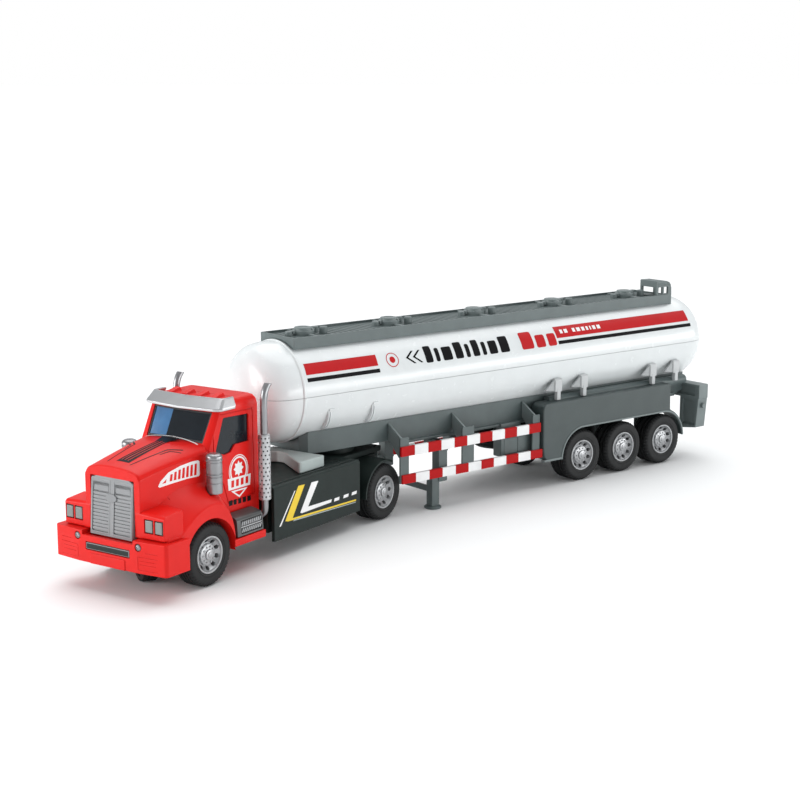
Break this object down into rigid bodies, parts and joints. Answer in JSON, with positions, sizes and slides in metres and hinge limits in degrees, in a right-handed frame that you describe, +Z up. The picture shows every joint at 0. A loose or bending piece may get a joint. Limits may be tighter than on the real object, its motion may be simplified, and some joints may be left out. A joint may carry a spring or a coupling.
{
  "type": "toy tanker truck",
  "caption": "Toy articulated tanker: a long-nosed road tractor and a round tank semitrailer joined at a kingpin, with rolling wheels and a swivel guide wheel under the nose.",
  "frame": {"origin": "centre of the bounding box in plan, on the floor, with the tractor turned 17 degrees about the kingpin", "axes": "+Z up; the trailer lies along Y with the tractor towards -Y; the lorry's left side is towards +X"},
  "size_m": [0.1082, 0.4158, 0.102],
  "materials": {
    "red_plastic": "moulded red, semi-gloss",
    "white_plastic": "moulded white, glossy",
    "grey_plastic": "moulded grey, satin",
    "dark_plastic": "moulded charcoal, satin",
    "pale_plastic": "moulded light grey, satin",
    "walkway_plastic": "moulded mid grey, satin",
    "grille_plastic": "moulded grey, semi-gloss",
    "silver_plastic": "silver-painted plastic",
    "smoked_plastic": "smoked tinted, glossy",
    "lamp_plastic": "grey lamp inserts, semi-gloss",
    "gear_plastic": "natural acetal",
    "tyre_rubber": "moulded black, matt",
    "steel": "plated steel"
  },
  "bodies": {
    "tractor": {"cab_shell": "red_plastic", "cab_glazing": "smoked_plastic", "grille": "grille_plastic", "bumper": "red_plastic", "bumper_screw_left": "steel", "bumper_screw_right": "steel", "headlamp_left": "lamp_plastic", "headlamp_right": "lamp_plastic", "sun_visor": "silver_plastic", "air_cleaner_left": "silver_plastic", "air_cleaner_right": "silver_plastic", "exhaust_left": "silver_plastic", "exhaust_right": "silver_plastic", "step_left": "silver_plastic", "step_right": "silver_plastic", "tractor_chassis": "dark_plastic", "bed_cover": "dark_plastic", "battery_door": "dark_plastic", "deck_plate": "pale_plastic", "drive_motor": "steel"},
    "pinion": {"motor_pinion": "gear_plastic"},
    "rear_drive_axle": {"rear_axle": "steel", "axle_gear": "gear_plastic", "rear_left_tyre": "tyre_rubber", "rear_left_rim": "silver_plastic", "rear_right_tyre": "tyre_rubber", "rear_right_rim": "silver_plastic"},
    "front_left_wheel": {"front_left_tyre": "tyre_rubber", "front_left_rim": "silver_plastic"},
    "front_right_wheel": {"front_right_tyre": "tyre_rubber", "front_right_rim": "silver_plastic"},
    "guide_fork": {"caster_fork": "dark_plastic"},
    "guide_wheel": {"caster_wheel": "tyre_rubber"},
    "trailer": {"tank_upper_shell": "white_plastic", "tank_lower_shell": "white_plastic", "walkway": "walkway_plastic", "trailer_frame": "grey_plastic", "spare_wheel": "tyre_rubber", "side_guard_left": "white_plastic", "side_guard_right": "white_plastic", "rear_wing_left": "grey_plastic", "rear_wing_right": "grey_plastic", "landing_legs": "grey_plastic", "rear_panel": "grey_plastic"},
    "trailer_wheels_1": {"trailer_axle_1": "steel", "trailer1_left_tyre": "tyre_rubber", "trailer1_left_rim": "silver_plastic", "trailer1_right_tyre": "tyre_rubber", "trailer1_right_rim": "silver_plastic"},
    "trailer_wheels_2": {"trailer_axle_2": "steel", "trailer2_left_tyre": "tyre_rubber", "trailer2_left_rim": "silver_plastic", "trailer2_right_tyre": "tyre_rubber", "trailer2_right_rim": "silver_plastic"},
    "trailer_wheels_3": {"trailer_axle_3": "steel", "trailer3_left_tyre": "tyre_rubber", "trailer3_left_rim": "silver_plastic", "trailer3_right_tyre": "tyre_rubber", "trailer3_right_rim": "silver_plastic"}
  },
  "joints": [
    {"name": "kingpin", "type": "hinge", "parent": "tractor", "child": "trailer", "pos_m": [-0.02219, -0.04811, 0.036], "axis": [0, 0, 1], "range_deg": [-43, 77]},
    {"name": "front_left_roll", "type": "hinge", "parent": "tractor", "child": "front_left_wheel", "pos_m": [0.01444, -0.16793, 0.014], "axis": [0.9563, 0.2924, 0], "continuous": true},
    {"name": "front_right_roll", "type": "hinge", "parent": "tractor", "child": "front_right_wheel", "pos_m": [0.01444, -0.16793, 0.014], "axis": [0.9563, 0.2924, 0], "continuous": true},
    {"name": "rear_roll", "type": "hinge", "parent": "tractor", "child": "rear_drive_axle", "pos_m": [-0.02403, -0.04208, 0.014], "axis": [0.9563, 0.2924, 0], "continuous": true},
    {"name": "pinion_spin", "type": "hinge", "parent": "tractor", "child": "pinion", "pos_m": [-0.01006, -0.04743, 0.0206], "axis": [0.9563, 0.2924, 0], "continuous": true},
    {"name": "guide_swivel", "type": "hinge", "parent": "tractor", "child": "guide_fork", "pos_m": [0.01728, -0.17721, 0.0256], "axis": [0, 0, 1], "range_deg": [-120, 0]},
    {"name": "guide_roll", "type": "hinge", "parent": "guide_fork", "child": "guide_wheel", "pos_m": [0.01582, -0.17687, 0.0085], "axis": [0.225, 0.9744, 0], "continuous": true},
    {"name": "trailer_roll_1", "type": "hinge", "parent": "trailer", "child": "trailer_wheels_1", "pos_m": [-0.02219, 0.09989, 0.014], "axis": [1, 0, 0], "continuous": true},
    {"name": "trailer_roll_2", "type": "hinge", "parent": "trailer", "child": "trailer_wheels_2", "pos_m": [-0.02219, 0.13189, 0.014], "axis": [1, 0, 0], "continuous": true},
    {"name": "trailer_roll_3", "type": "hinge", "parent": "trailer", "child": "trailer_wheels_3", "pos_m": [-0.02219, 0.16389, 0.014], "axis": [1, 0, 0], "continuous": true}
  ],
  "couplings": [
    {"joint": "pinion_spin", "follows": "rear_roll", "ratio": -2.25}
  ]
}
